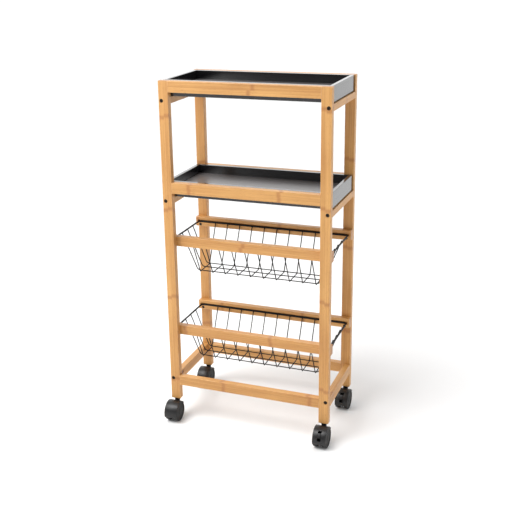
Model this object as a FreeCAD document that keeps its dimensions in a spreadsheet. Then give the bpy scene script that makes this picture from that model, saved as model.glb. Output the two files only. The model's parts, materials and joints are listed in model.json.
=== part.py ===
"""Four-tier rolling utility cart: bamboo frame, two black trays, two wire baskets, four casters.

X runs along the cart's width (+X is its right side seen from the front), Y runs from the front
to the back and Z is up.  The origin is on the floor, below the middle of the whole cart's box.
All sizes are millimetres.
"""
import FreeCAD, Part
import math
import os
import Sketcher

doc = FreeCAD.newDocument("rolling_cart")
Vec = FreeCAD.Vector
Rot = FreeCAD.Rotation

# ---------------------------------------------------------------- driving dimensions
DRIVING = {
    "cart_width": 422.0, "cart_depth": 223.0, "cart_height": 878.0,
    "leg_width": 25.0, "leg_depth": 16.0, "leg_foot": 53.5,
    "rail_thick": 16.0, "edge_round": 1.2, "foot_chamfer": 2.0,
    "tray_rail_tall": 27.0, "mid_tray_top": 633.5,
    "board_thick": 9.0, "board_tall": 37.5, "board_inset": 3.0, "floor_drop": 21.5,
    "side_rail_wide": 22.0, "side_rail_tall": 16.0, "side_rail_drop": 40.0,
    "basket_rail_tall": 25.0, "upper_basket_top": 493.0, "lower_basket_top": 255.5,
    "groove_drop": 7.5, "groove_tall": 7.3, "groove_deep": 5.5, "groove_stop": 5.0,
    "base_rail_tall": 26.0, "base_top": 120.5,
    "rim_wire": 4.5, "mesh_wire": 2.5, "rim_half_x": 203.0, "rim_half_y": 81.8,
    "basket_deep": 97.5, "bottom_half_x": 161.0, "bottom_half_y": 30.0,
    "rim_bend": 7.0, "cross_bend": 4.0, "long_bend": 10.0, "wire_lap": 1.0,
    "cross_pitch": 34.2, "long_pitch_top": 33.0, "long_pitch_low": 28.4,
    "bolt_dia": 5.0, "bolt_reach": 42.0, "bolt_head_dia": 9.0, "bolt_head_tall": 4.0,
    "bolt_sink": 5.5, "bolt_side": 7.5, "bolt_rise": 9.0, "base_bolt": 112.0, "bolt_room": 0.2,
    "bore_dia": 9.6, "socket_dia": 4.4, "socket_deep": 2.5,
    "nut_dia": 10.0, "nut_long": 13.0, "nut_back": 22.0, "nut_room": 0.1, "bolt_end_room": 6.0,
    "dowel_dia": 6.0, "dowel_long": 22.0, "dowel_pitch": 12.0,
    "screw_dia": 4.0, "screw_long": 26.0, "screw_head": 7.5, "screw_head_tall": 2.6,
    "screw_sink": 0.4, "screw_rise": 5.0, "screw_socket": 2.2, "screw_socket_deep": 1.4,
    "caster_trail": 20.0, "wheel_dia": 50.0, "wheel_wide": 10.0, "wheel_gap": 14.0,
    "hood_gap": 0.6, "hood_wall": 1.5, "web_wide": 13.4, "axle_dia": 5.0,
    "stem_dia": 8.0, "stem_low": 23.0, "stem_top": 88.0, "stem_room": 1.0,
    "boss_low": 8.0, "boss_gap": 0.3, "bore_room": 5.0, "sleeve_dia": 10.0,
    "sleeve_long": 30.0, "run_gap": 0.05, "fit_gap": 0.02,
    "lever_wide": 8.4, "lever_slot": 9.2, "slot_radius": 16.0, "trunnion_dia": 2.4, "trunnion_gap": 0.6,
    "knuckle_dia": 6.0, "pivot_radius": 21.0, "pedal_inner": 23.0, "pedal_proud": 0.7,
    "shoulder_round": 1.5, "dish_rim": 4.5, "dish_deep": 1.2, "axle_short": 2.0,
}
CROSS_WIRES = 10
LONG_WIRE_ROWS = (-1, 0, 1)
# A caster's hood, its lever slot and the lever as angles about the axle: 90 up, 180 to the front.
HOOD_ANGLES = (32.0, 200.0)
SLOT_ANGLES = (121.0, 178.0)
LEVER_ANGLES = (135.0, 160.0)
PIVOT_ANGLE = 140.0
# The web's lower outline as (Y, Z) from the axle, from the hood's front end round to its back end.
WEB_OUTLINE = ((-6.0, -13.0), (8.0, -13.0), (26.0, -4.0), (26.0, 8.0))

sheet = doc.addObject("Spreadsheet::Sheet", "dims")


def fill_sheet(values):
    """Write each named value into the sheet and give its cell that name."""
    for row, (alias, value) in enumerate(values.items(), start=1):
        sheet.set(f"A{row}", alias)
        sheet.set(f"B{row}", str(value))
        sheet.setAlias(f"B{row}", alias)


fill_sheet(DRIVING)
doc.recompute()


def dim(alias):
    """One driving dimension, read back from the sheet."""
    return float(getattr(sheet, alias))


W2 = dim("cart_width") / 2
D2 = dim("cart_depth") / 2
LEG_W = dim("leg_width")
LEG_D = dim("leg_depth")
THICK = dim("rail_thick")
WHEEL_R = dim("wheel_dia") / 2
HOOD_IN = WHEEL_R + dim("hood_gap")
HOOD_OUT = HOOD_IN + dim("hood_wall")
TRAIL = dim("caster_trail")
# The casters trail forwards, so the frame's middle stands a little behind the origin.
MIDDLE = (TRAIL + HOOD_OUT - LEG_D / 2) / 2
FRONT = MIDDLE - D2
BACK = MIDDLE + D2
STEM_X = W2 - LEG_W / 2
STEM_FRONT = FRONT + LEG_D / 2
STEM_BACK = BACK - LEG_D / 2
TRAYS = {"top_tray": dim("cart_height"), "mid_tray": dim("mid_tray_top")}
BASKETS = {"upper_basket": dim("upper_basket_top"), "lower_basket": dim("lower_basket_top")}
BASE_TOP = dim("base_top")
SCREW_RISES = {basket: top - dim("basket_rail_tall") + dim("screw_rise") for basket, top in BASKETS.items()}
# Every sketched rectangle starts as a square of this size, and its constraints then size it.
START_SIZE = 10.0
# An edge whose highest point is closer than this to the foot's plane lies in it.
FLAT = 0.01
# A cut that removes less than this, in cubic millimetres, has missed its solid.
LEAST_CUT = 0.01
BOLT_HOLE = "dims.bolt_dia + dims.bolt_room"
RUNNING = "2 * dims.run_gap"
nodes = []


# ---------------------------------------------------------------- small builders
def plane_of(body, role):
    """The body's own origin plane with this role."""
    return next(feature for feature in body.Origin.OriginFeatures if feature.Role == role)


def new_sketch(body, name, role, offset=0.0):
    """An empty sketch on one of the body's planes, moved along that plane's normal."""
    sketch = body.newObject("Sketcher::SketchObject", name)
    sketch.AttachmentSupport = [(plane_of(body, role), "")]
    sketch.MapMode = "FlatFace"
    sketch.AttachmentOffset = FreeCAD.Placement(Vec(0, 0, offset), Rot())
    return sketch


def line(sketch, start, end):
    """Add a straight edge to a sketch and return its index."""
    return sketch.addGeometry(Part.LineSegment(Vec(*start, 0), Vec(*end, 0)), False)


def rectangle(sketch, low, size_u, size_v):
    """A rectangle from its low corner; the sizes are expressions or numbers."""
    far = (low[0] + START_SIZE, low[1] + START_SIZE)
    corners = [low, (far[0], low[1]), far, (low[0], far[1])]
    for index in range(4):
        line(sketch, corners[index], corners[(index + 1) % 4])
    for index in range(4):
        join = Sketcher.Constraint("Coincident", index, 2, (index + 1) % 4, 1)
        sketch.addConstraint(join)
    for index, kind in ((0, "Horizontal"), (2, "Horizontal"), (1, "Vertical"), (3, "Vertical")):
        sketch.addConstraint(Sketcher.Constraint(kind, index))
    sketch.addConstraint(Sketcher.Constraint("DistanceX", -1, 1, 0, 1, low[0]))
    sketch.addConstraint(Sketcher.Constraint("DistanceY", -1, 1, 0, 1, low[1]))
    across = sketch.addConstraint(Sketcher.Constraint("DistanceX", 0, 1, 0, 2, START_SIZE))
    bind(sketch, across, size_u)
    upwards = sketch.addConstraint(Sketcher.Constraint("DistanceY", 1, 1, 1, 2, START_SIZE))
    bind(sketch, upwards, size_v)


def bind(sketch, index, value):
    """Bind a constraint to a sheet expression, or set it to a plain number."""
    if isinstance(value, str):
        sketch.setExpression(f"Constraints[{index}]", value)
    else:
        sketch.setDatum(index, FreeCAD.Units.Quantity(value, FreeCAD.Units.Length))


def circles(sketch, centres, diameter):
    """Equal circles at these centres, all of one expression's diameter."""
    for centre in centres:
        ring = Part.Circle(Vec(*centre, 0), Vec(0, 0, 1), 1.0)
        index = sketch.addGeometry(ring, False)
        sketch.addConstraint(Sketcher.Constraint("DistanceX", -1, 1, index, 3, centre[0]))
        sketch.addConstraint(Sketcher.Constraint("DistanceY", -1, 1, index, 3, centre[1]))
        width = sketch.addConstraint(Sketcher.Constraint("Diameter", index, 2.0))
        bind(sketch, width, diameter)


PLANES = {"x": ("YZ_Plane", 1), "y": ("XZ_Plane", -1), "z": ("XY_Plane", 1)}


def drill(body, name, axis, centres, diameter, start, depth):
    """Round holes along an axis, from a plane at start; a negative depth drills backwards."""
    role, normal = PLANES[axis]
    sketch = new_sketch(body, f"{name}_holes", role, start * normal)
    circles(sketch, centres, diameter)
    pocket_from(body, name, sketch, depth, (depth > 0) == (normal > 0))


def pocket_from(body, name, sketch, depth, backwards):
    """Cut a sketch into its body and make sure that it removed something."""
    doc.recompute()
    before = body.Shape.Volume
    pocket = body.newObject("PartDesign::Pocket", name)
    pocket.Profile = sketch
    pocket.Length = abs(depth)
    pocket.Reversed = backwards
    body.Tip = pocket
    doc.recompute()
    if body.Shape.Volume > before - LEAST_CUT:
        raise RuntimeError(f"{body.Label}: {name} cuts nothing")


def keep(node, label):
    """Give a finished sub-part its label and put it on the export list."""
    node.Label = label
    nodes.append(node)
    return node


def put(node, x, y, z):
    """Place a sub-part's own origin in the cart."""
    node.Placement = FreeCAD.Placement(Vec(x, y, z), Rot())


def edges_along(shape, axis):
    """Names of the straight edges that run along this axis."""
    names = []
    for number, edge in enumerate(shape.Edges, start=1):
        ends = edge.Vertexes[-1].Point - edge.Vertexes[0].Point
        if ends.Length > 1 and abs(ends.normalize().dot(axis)) > 0.999:
            names.append(f"Edge{number}")
    return names


def plank(label, sizes, place, long_axis, foot=False):
    """A planed bamboo strip with its long edges eased; sizes are expressions for X, Y and Z."""
    body = doc.addObject("PartDesign::Body", f"body_{label}")
    sketch = new_sketch(body, f"{label}_outline", "XY_Plane")
    rectangle(sketch, (0.0, 0.0), sizes[0], sizes[1])
    base = body.newObject("PartDesign::Pad", f"{label}_pad")
    base.Profile = sketch
    base.setExpression("Length", sizes[2])
    doc.recompute()
    if foot:
        base = chamfer_foot(body, base)
    fillet = body.newObject("PartDesign::Fillet", f"{label}_eased")
    fillet.Base = (base, edges_along(base.Shape, long_axis))
    fillet.setExpression("Radius", "dims.edge_round")
    body.Tip = fillet
    put(body, *place)
    doc.recompute()
    return keep(body, label)


def chamfer_foot(body, base):
    """Bevel the lower outline of a leg before its long edges are eased."""
    low = []
    for number, edge in enumerate(base.Shape.Edges, start=1):
        if abs(edge.BoundBox.ZMax) < FLAT:
            low.append(f"Edge{number}")
    chamfer = body.newObject("PartDesign::Chamfer", "foot_bevel")
    chamfer.Base = (base, low)
    chamfer.setExpression("Size", "dims.foot_chamfer")
    body.Tip = chamfer
    doc.recompute()
    return chamfer


def board(label, sizes, place):
    """A plain black board with square edges."""
    box = doc.addObject("Part::Box", f"box_{label}")
    for name, size in zip(("Length", "Width", "Height"), sizes):
        box.setExpression(name, size)
    put(box, *place)
    return keep(box, label)


def group(label, shapes):
    """Equal loose solids that share one node."""
    feature = doc.addObject("Part::Feature", f"set_{label}")
    feature.Shape = Part.makeCompound(shapes)
    return keep(feature, label)


def rod(start, direction, diameter, length):
    """A plain round bar."""
    return Part.makeCylinder(diameter / 2, length, Vec(*start), Vec(*direction))


def bent_wire(points, bend, diameter, closed=False):
    """A round wire along straight runs with an arc of one radius at every bend."""
    count = len(points)
    bends = range(count) if closed else range(1, count - 1)
    corner = {}
    for index in bends:
        here = points[index]
        to_last = (points[index - 1] - here).normalize()
        to_next = (points[(index + 1) % count] - here).normalize()
        half = to_last.getAngle(to_next) / 2
        reach = bend / math.tan(half)
        inward = (to_last + to_next).normalize()
        middle = here + inward * (bend / math.sin(half) - bend)
        corner[index] = (here + to_last * reach, middle, here + to_next * reach)
    edges = []
    for index in range(count if closed else count - 1):
        after = (index + 1) % count
        start = corner[index][2] if index in corner else points[index]
        end = corner[after][0] if after in corner else points[after]
        edges.append(Part.LineSegment(start, end).toShape())
        if after in corner:
            edges.append(Part.Arc(*corner[after]).toShape())
    path = Part.Wire(edges)
    first = edges[0]
    origin = first.valueAt(first.FirstParameter)
    along = first.tangentAt(first.FirstParameter)
    ring = Part.Wire(Part.Circle(origin, along, diameter / 2).toShape())
    return path.makePipeShell([ring], True, True)


# ---------------------------------------------------------------- bamboo frame
def leg_hole_heights():
    """Heights of the cross bolts, measured from the floor."""
    below = dim("side_rail_drop") + dim("side_rail_tall") - dim("bolt_rise")
    return [top - below for top in TRAYS.values()] + [dim("base_bolt")]


def rail_dowel_heights():
    """Heights of the dowels that hold the front and back rails to the legs."""
    half = dim("dowel_pitch") / 2
    middles = [top - dim("tray_rail_tall") / 2 for top in TRAYS.values()]
    middles.append(BASE_TOP - dim("base_rail_tall") / 2)
    return [middle + shift for middle in middles for shift in (-half, half)]


def make_leg(side, end):
    """One leg: bolt holes through its depth, dowel holes in its inner side, a caster bore below."""
    right = side == "right"
    front = end == "front"
    label = f"leg_{end}_{side}"
    sizes = ("dims.leg_width", "dims.leg_depth", "dims.cart_height - dims.leg_foot")
    place = (W2 - LEG_W if right else -W2, FRONT if front else BACK - LEG_D, dim("leg_foot"))
    leg = plank(label, sizes, place, Vec(0, 0, 1), foot=True)
    bolt_x = LEG_W - dim("bolt_side") if right else dim("bolt_side")
    heights = [height - dim("leg_foot") for height in leg_hole_heights()]
    centres = [(bolt_x, height) for height in heights]
    outer = 0.0 if front else LEG_D
    inward = 1 if front else -1
    drill(leg, f"{label}_sink", "y", centres, "dims.bore_dia", outer, inward * dim("bolt_sink"))
    drill(leg, f"{label}_bolt", "y", centres, BOLT_HOLE, outer, inward * LEG_D)
    depth = dim("dowel_long") / 2
    spots = [(LEG_D / 2, height - dim("leg_foot")) for height in rail_dowel_heights()]
    face, turn = (0.0, 1) if right else (LEG_W, -1)
    drill(leg, f"{label}_dowel", "x", spots, "dims.dowel_dia", face, turn * depth)
    bore = dim("sleeve_long") + dim("bore_room")
    drill(leg, f"{label}_caster", "z", [(LEG_W / 2, LEG_D / 2)], "dims.sleeve_dia", 0.0, bore)
    screw_spots = [(LEG_W / 2, height - dim("leg_foot")) for height in SCREW_RISES.values()]
    inner = LEG_D if front else 0.0
    reach = -inward * (dim("screw_long") - THICK)
    drill(leg, f"{label}_screw", "y", screw_spots, "dims.screw_dia", inner, reach)
    return leg


def make_cross_rail(label, end, top, tall):
    """A front or back rail between the legs, flush with their outer faces."""
    sizes = ("dims.cart_width - 2 * dims.leg_width", "dims.rail_thick", tall)
    height = dim(tall.split(".")[1])
    place = (-W2 + LEG_W, FRONT if end == "front" else BACK - THICK, top - height)
    rail = plank(label, sizes, place, Vec(1, 0, 0))
    half = dim("dowel_pitch") / 2
    spots = [(THICK / 2, height / 2 + shift) for shift in (-half, half)]
    depth = dim("dowel_long") / 2
    length = 2 * (W2 - LEG_W)
    drill(rail, f"{label}_left_dowels", "x", spots, "dims.dowel_dia", 0.0, depth)
    drill(rail, f"{label}_right_dowels", "x", spots, "dims.dowel_dia", length, -depth)
    return rail


def make_side_rail(label, side, top, wide, tall, bolt_height):
    """A rail along Y between a front and a back leg, held by a bolt and a barrel nut at each end."""
    sizes = (wide, "dims.cart_depth - 2 * dims.leg_depth", tall)
    width = dim(wide.split(".")[1])
    height = dim(tall.split(".")[1])
    x_low = W2 - width if side == "right" else -W2
    low = top - height
    rail = plank(label, sizes, (x_low, FRONT + LEG_D, low), Vec(0, 1, 0))
    length = 2 * (D2 - LEG_D)
    bolt_x = width - dim("bolt_side") if side == "right" else dim("bolt_side")
    spot = [(bolt_x, bolt_height - low)]
    reach = dim("bolt_reach") - LEG_D + dim("bolt_end_room")
    drill(rail, f"{label}_front_bolt", "y", spot, BOLT_HOLE, 0.0, reach)
    drill(rail, f"{label}_back_bolt", "y", spot, BOLT_HOLE, length, -reach)
    back = dim("nut_back")
    if height > width:
        holes = [(distance, bolt_height - low) for distance in (back, length - back)]
        start, turn = (0.0, 1) if side == "right" else (width, -1)
        depth = turn * nut_hole_depth(width, bolt_x, turn)
        drill(rail, f"{label}_nuts", "x", holes, "dims.nut_dia", start, depth)
    else:
        holes = [(bolt_x, distance) for distance in (back, length - back)]
        depth = bolt_height - low + dim("nut_long") / 2
        drill(rail, f"{label}_nuts", "z", holes, "dims.nut_dia", 0.0, depth)
    return rail


def nut_hole_depth(width, bolt_x, turn):
    """Depth of a barrel nut's hole from the face it enters, half a nut past the bolt."""
    from_face = bolt_x if turn > 0 else width - bolt_x
    return from_face + dim("nut_long") / 2


def make_basket_rail(label, end, top):
    """A rail lapped on the legs' inner faces, with a stopped groove for the basket's rim wire."""
    sizes = ("dims.cart_width", "dims.rail_thick", "dims.basket_rail_tall")
    front = end == "front"
    y_low = FRONT + LEG_D if front else BACK - LEG_D - THICK
    rail = plank(label, sizes, (-W2, y_low, top - dim("basket_rail_tall")), Vec(1, 0, 0))
    inner = THICK if front else 0.0
    sketch = new_sketch(rail, f"{label}_groove_outline", "XZ_Plane", -inner)
    low = dim("basket_rail_tall") - dim("groove_drop") - dim("groove_tall")
    length = "dims.cart_width - 2 * dims.groove_stop"
    rectangle(sketch, (dim("groove_stop"), low), length, "dims.groove_tall")
    pocket_from(rail, f"{label}_groove", sketch, dim("groove_deep"), front)
    rise = dim("screw_rise")
    spots = [(LEG_W / 2, rise), (2 * W2 - LEG_W / 2, rise)]
    inward = -1 if front else 1
    drill(rail, f"{label}_screws", "y", spots, "dims.screw_dia", inner, inward * THICK)
    sink = dim("screw_head_tall") + dim("screw_sink")
    drill(rail, f"{label}_heads", "y", spots, "dims.screw_head", inner, inward * sink)
    return rail


def make_frame():
    """Legs and every bamboo rail."""
    for end in ("front", "back"):
        for side in ("left", "right"):
            make_leg(side, end)
        for tray, top in TRAYS.items():
            make_cross_rail(f"{tray}_{end}_rail", end, top, "dims.tray_rail_tall")
        for basket, top in BASKETS.items():
            make_basket_rail(f"{basket}_{end}_rail", end, top)
        make_cross_rail(f"base_{end}_rail", end, BASE_TOP, "dims.base_rail_tall")
    heights = leg_hole_heights()
    for side in ("left", "right"):
        for (tray, top), bolt in zip(TRAYS.items(), heights):
            rail_top = top - dim("side_rail_drop")
            sizes = ("dims.side_rail_wide", "dims.side_rail_tall")
            make_side_rail(f"{tray}_{side}_rail", side, rail_top, *sizes, bolt)
        sizes = ("dims.rail_thick", "dims.base_rail_tall")
        make_side_rail(f"base_{side}_rail", side, BASE_TOP, *sizes, heights[-1])


# ---------------------------------------------------------------- black trays
def make_tray(tray, top):
    """Two end boards, a front and a back board between them, and the floor panel."""
    inset = dim("board_inset")
    thick = dim("board_thick")
    low = top - dim("board_tall")
    front = FRONT + THICK
    end_sizes = ("dims.board_thick", "dims.cart_depth - 2 * dims.rail_thick", "dims.board_tall")
    board(f"{tray}_left_end", end_sizes, (-W2 + inset, front, low))
    board(f"{tray}_right_end", end_sizes, (W2 - inset - thick, front, low))
    inner = "dims.cart_width - 2 * dims.board_inset - 2 * dims.board_thick"
    x_low = -W2 + inset + thick
    long_sizes = (inner, "dims.board_thick", "dims.board_tall")
    board(f"{tray}_front_board", long_sizes, (x_low, front, low))
    board(f"{tray}_back_board", long_sizes, (x_low, BACK - THICK - thick, low))
    floor_depth = "dims.cart_depth - 2 * dims.rail_thick - 2 * dims.board_thick"
    floor_low = top - dim("floor_drop") - thick
    board(f"{tray}_floor", (inner, floor_depth, "dims.board_thick"), (x_low, front + thick, floor_low))


# ---------------------------------------------------------------- wire baskets
def make_basket(basket, rail_top):
    """A rim wire in the grooves, ten cross wires and three long wires lying on them."""
    rim = dim("rim_wire")
    mesh = dim("mesh_wire")
    gap = dim("fit_gap")
    level = rail_top - dim("groove_drop") - dim("groove_tall") + rim / 2 + gap
    half_x = dim("rim_half_x")
    half_y = dim("rim_half_y")
    signs = ((-1, -1), (1, -1), (1, 1), (-1, 1))
    corners = [Vec(sx * half_x, MIDDLE + sy * half_y, level) for sx, sy in signs]
    group(f"{basket}_rim", [bent_wire(corners, dim("rim_bend"), rim, closed=True)])
    side = (rim + mesh) / 2 + gap
    low = level - dim("basket_deep")
    top = level + dim("wire_lap")
    wall_y = half_y - side
    foot_y = dim("bottom_half_y")
    profile = ((-wall_y, top), (-foot_y, low), (foot_y, low), (wall_y, top))
    cross = []
    for index in range(CROSS_WIRES):
        x = (index - (CROSS_WIRES - 1) / 2) * dim("cross_pitch")
        points = [Vec(x, MIDDLE + y, z) for y, z in profile]
        cross.append(bent_wire(points, dim("cross_bend"), mesh))
    group(f"{basket}_cross_wires", cross)
    over = low + mesh + gap
    wall_x = half_x - side
    foot_x = dim("bottom_half_x")
    long_wires = []
    for row in LONG_WIRE_ROWS:
        y_top = MIDDLE + row * dim("long_pitch_top")
        y_low = MIDDLE + row * dim("long_pitch_low")
        left = [Vec(-wall_x, y_top, top), Vec(-foot_x, y_low, over)]
        right = [Vec(foot_x, y_low, over), Vec(wall_x, y_top, top)]
        long_wires.append(bent_wire(left + right, dim("long_bend"), mesh))
    group(f"{basket}_long_wires", long_wires)


# ---------------------------------------------------------------- fasteners
def frame_corners():
    """The four leg corners as (side sign, outer face's y, inward direction)."""
    return [(sx, y, turn) for sx in (-1, 1) for y, turn in ((FRONT, 1), (BACK, -1))]


def make_fasteners():
    """Cross bolts with barrel nuts, rail dowels and the basket rails' screws."""
    bolts = []
    nuts = []
    bolt_x = W2 - dim("bolt_side")
    head = dim("bolt_head_tall")
    shank_long = dim("bolt_reach") - dim("bolt_sink")
    for height in leg_hole_heights():
        for sx, face, turn in frame_corners():
            seat = face + turn * dim("bolt_sink")
            x = sx * bolt_x
            top = rod((x, seat - turn * head, height), (0, turn, 0), dim("bolt_head_dia"), head)
            shank = rod((x, seat, height), (0, turn, 0), dim("bolt_dia"), shank_long)
            end = (x, seat - turn * head, height)
            socket = rod(end, (0, turn, 0), dim("socket_dia"), dim("socket_deep"))
            bolts.append(top.fuse(shank).cut(socket).removeSplitter())
            nuts.append(barrel_nut(x, face + turn * (LEG_D + dim("nut_back")), height, sx))
    group("frame_bolts", bolts)
    group("barrel_nuts", nuts)
    depth = dim("dowel_long") / 2
    dowels = []
    for height in rail_dowel_heights():
        for sx in (-1, 1):
            for y in (STEM_FRONT, STEM_BACK):
                start = sx * (W2 - LEG_W) - depth
                dowels.append(rod((start, y, height), (1, 0, 0), dim("dowel_dia"), 2 * depth))
    group("rail_dowels", dowels)
    screws = []
    for height in SCREW_RISES.values():
        for sx in (-1, 1):
            for y, turn in ((FRONT + LEG_D + THICK, -1), (BACK - LEG_D - THICK, 1)):
                screws.append(basket_screw(sx * STEM_X, y, height, turn))
    group("basket_rail_screws", screws)


def barrel_nut(x, y, height, sx):
    """A cross dowel with a hole for the bolt; it stands up in the flat tray rails."""
    long = dim("nut_long")
    if height > BASE_TOP:
        body = rod((x, y, height - long / 2), (0, 0, 1), dim("nut_dia"), long)
    else:
        body = rod((x - long / 2, y, height), (1, 0, 0), dim("nut_dia"), long)
    across = dim("nut_dia")
    hole = rod((x, y - across, height), (0, 1, 0), dim("bolt_dia") + dim("nut_room"), 2 * across)
    return body.cut(hole)


def basket_screw(x, y, height, turn):
    """A flat-headed screw through a basket rail into the leg behind it."""
    sink = dim("screw_sink")
    along = (0, turn, 0)
    start = (x, y + turn * sink, height)
    shank = rod(start, along, dim("screw_dia"), dim("screw_long") - sink)
    head = rod(start, along, dim("screw_head"), dim("screw_head_tall"))
    socket = rod(start, along, dim("screw_socket"), dim("screw_socket_deep"))
    return shank.fuse(head).cut(socket)


# ---------------------------------------------------------------- casters
def on_circle(radius, degrees):
    """A point (Y, Z) around the axle, 0 degrees towards the back, 90 up, 180 to the front."""
    angle = math.radians(degrees)
    return (radius * math.cos(angle), radius * math.sin(angle))


def arc_between(sketch, radius, start, end):
    """An arc about the sketch's origin from one angle to another."""
    circle = Part.Circle(Vec(0, 0, 0), Vec(0, 0, 1), radius)
    arc = Part.ArcOfCircle(circle, math.radians(start), math.radians(end))
    return sketch.addGeometry(arc, False)


def ring_sector(sketch, inner, outer, start, end):
    """A closed band between two radii and two angles."""
    arc_between(sketch, outer, start, end)
    line(sketch, on_circle(outer, end), on_circle(inner, end))
    arc_between(sketch, inner, start, end)
    line(sketch, on_circle(inner, start), on_circle(outer, start))


def pad_across(body, name, sketch, width):
    """Pad a sketch to both sides of the caster's middle plane."""
    pad = body.newObject("PartDesign::Pad", name)
    pad.Profile = sketch
    pad.Midplane = True
    pad.setExpression("Length", width)
    body.Tip = pad
    doc.recompute()
    return pad


def make_hood(label, braked):
    """The caster's body: a hood over both wheels, the web between them and the stem's boss."""
    body = doc.addObject("PartDesign::Body", f"body_{label}")
    shell = new_sketch(body, f"{label}_shell_outline", "YZ_Plane")
    ring_sector(shell, HOOD_IN, HOOD_OUT, *HOOD_ANGLES)
    pad_across(body, f"{label}_shell", shell, "dims.wheel_gap + 2 * dims.wheel_wide")
    web = new_sketch(body, f"{label}_web_outline", "YZ_Plane")
    reach = HOOD_IN + dim("hood_wall") / 2
    arc_between(web, reach, *HOOD_ANGLES)
    back_end, front_end = (on_circle(reach, angle) for angle in HOOD_ANGLES)
    under = [front_end, *WEB_OUTLINE, back_end]
    for start, end in zip(under, under[1:]):
        line(web, start, end)
    pad_across(body, f"{label}_web", web, "dims.web_wide")
    boss = new_sketch(body, f"{label}_boss_outline", "XY_Plane", -dim("boss_low"))
    circles(boss, [(0.0, TRAIL)], "dims.web_wide")
    post = body.newObject("PartDesign::Pad", f"{label}_boss")
    post.Profile = boss
    post.setExpression("Length", "dims.leg_foot - dims.boss_gap - dims.wheel_dia / 2 + dims.boss_low")
    body.Tip = post
    doc.recompute()
    top = dim("leg_foot") - WHEEL_R
    depth = dim("leg_foot") - dim("stem_low") + dim("stem_room")
    drill(body, f"{label}_stem", "z", [(0.0, TRAIL)], f"dims.stem_dia + {RUNNING}", top, -depth)
    half = dim("web_wide") / 2
    drill(body, f"{label}_axle", "x", [(0.0, 0.0)], "dims.axle_dia", -half, 2 * half)
    if braked:
        slot = new_sketch(body, f"{label}_slot_outline", "YZ_Plane", -dim("lever_slot") / 2)
        ring_sector(slot, dim("slot_radius"), HOOD_OUT + dim("hood_wall"), *SLOT_ANGLES)
        pocket_from(body, f"{label}_slot", slot, dim("lever_slot"), True)
        hole = f"dims.trunnion_dia + {RUNNING}"
        drill(body, f"{label}_pivot", "x", [pivot_spot()], hole, -half, 2 * half)
    return keep(body, label)


def pivot_spot():
    """Where the brake lever turns, as (Y, Z) from the axle."""
    return on_circle(dim("pivot_radius"), PIVOT_ANGLE)


def make_wheel(label, out):
    """A wheel on one side of the web; out is +1 or -1 along X."""
    body = doc.addObject("PartDesign::Body", f"body_{label}")
    inner = out * dim("wheel_gap") / 2
    sketch = new_sketch(body, f"{label}_tread_outline", "YZ_Plane", inner)
    circles(sketch, [(0.0, 0.0)], "dims.wheel_dia")
    pad = body.newObject("PartDesign::Pad", f"{label}_tread")
    pad.Profile = sketch
    pad.setExpression("Length", "dims.wheel_wide")
    pad.Reversed = out < 0
    body.Tip = pad
    doc.recompute()
    rounded = body.newObject("PartDesign::Fillet", f"{label}_shoulders")
    rims = [f"Edge{number}" for number, edge in enumerate(pad.Shape.Edges, start=1) if edge.Closed]
    rounded.Base = (pad, rims)
    rounded.setExpression("Radius", "dims.shoulder_round")
    body.Tip = rounded
    doc.recompute()
    face = inner + out * dim("wheel_wide")
    through = out * dim("wheel_wide")
    drill(body, f"{label}_bore", "x", [(0.0, 0.0)], f"dims.axle_dia + {RUNNING}", inner, through)
    dish = new_sketch(body, f"{label}_dish_outline", "YZ_Plane", face)
    circles(dish, [(0.0, 0.0)], "dims.wheel_dia - 2 * dims.dish_rim")
    pocket_from(body, f"{label}_dish", dish, dim("dish_deep"), out < 0)
    return keep(body, label)


def make_lever(label):
    """The brake lever: a curved pedal in the hood's slot, a knuckle and two trunnions."""
    body = doc.addObject("PartDesign::Body", f"body_{label}")
    pedal = new_sketch(body, f"{label}_pedal_outline", "YZ_Plane")
    ring_sector(pedal, dim("pedal_inner"), HOOD_OUT + dim("pedal_proud"), *LEVER_ANGLES)
    pad_across(body, f"{label}_pedal", pedal, "dims.lever_wide")
    knuckle = new_sketch(body, f"{label}_knuckle_outline", "YZ_Plane")
    circles(knuckle, [pivot_spot()], "dims.knuckle_dia")
    pad_across(body, f"{label}_knuckle", knuckle, "dims.lever_wide")
    pins = new_sketch(body, f"{label}_pins_outline", "YZ_Plane")
    circles(pins, [pivot_spot()], "dims.trunnion_dia")
    pad_across(body, f"{label}_pins", pins, "dims.web_wide - dims.trunnion_gap")
    return keep(body, label)


def make_caster(end, side):
    """One twin-wheel caster: hood, axle and two wheels, with a brake lever on the right side."""
    name = f"caster_{end}_{side}"
    x = STEM_X if side == "right" else -STEM_X
    y = (STEM_FRONT if end == "front" else STEM_BACK) - TRAIL
    braked = side == "right"
    put(make_hood(f"{name}_hood", braked), x, y, WHEEL_R)
    axle = doc.addObject("Part::Cylinder", f"rod_{name}_axle")
    axle.setExpression("Radius", "dims.axle_dia / 2")
    axle.setExpression("Height", "dims.wheel_gap + 2 * dims.wheel_wide - 2 * dims.axle_short")
    start = dim("axle_short") - dim("wheel_gap") / 2 - dim("wheel_wide")
    axle.Placement = FreeCAD.Placement(Vec(x + start, y, WHEEL_R), Rot(Vec(0, 1, 0), 90))
    keep(axle, f"{name}_axle")
    for wheel, out in (("left", -1), ("right", 1)):
        put(make_wheel(f"{name}_{wheel}_wheel", out), x, y, WHEEL_R)
    if braked:
        put(make_lever(f"{name}_brake_lever"), x, y, WHEEL_R)


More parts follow.
